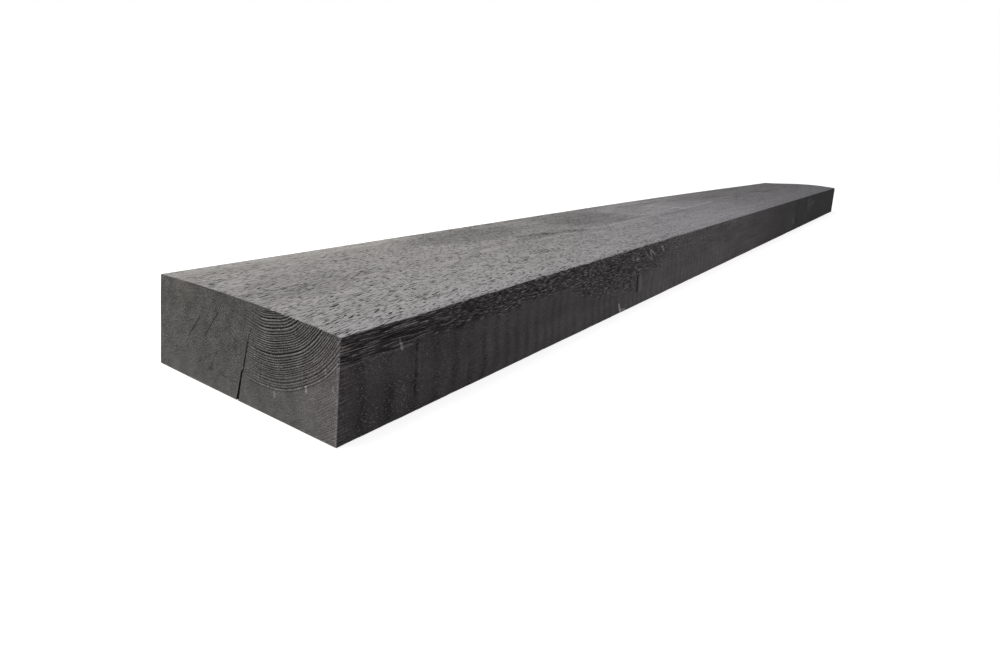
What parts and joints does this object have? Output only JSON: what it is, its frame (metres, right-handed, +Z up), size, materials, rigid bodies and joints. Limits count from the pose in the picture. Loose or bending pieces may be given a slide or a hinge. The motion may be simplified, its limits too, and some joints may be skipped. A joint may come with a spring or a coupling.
{
  "type": "railway sleeper",
  "caption": "Sawn softwood sleeper beam, dark stained, with a slightly crowned top, eased arrises and a drying check in one end; for bed edging, walls and steps.",
  "frame": {"origin": "centre of the underside", "axes": "+X along the grain, away from the end with the open drying check; +Y across the width, away from the front side; +Z up"},
  "size_m": [2, 0.2, 0.075],
  "materials": {
    "stained_timber": "rough-sawn, charcoal stained and weathered"
  },
  "bodies": {
    "root": {"sleeper": "stained_timber"}
  },
  "joints": []
}
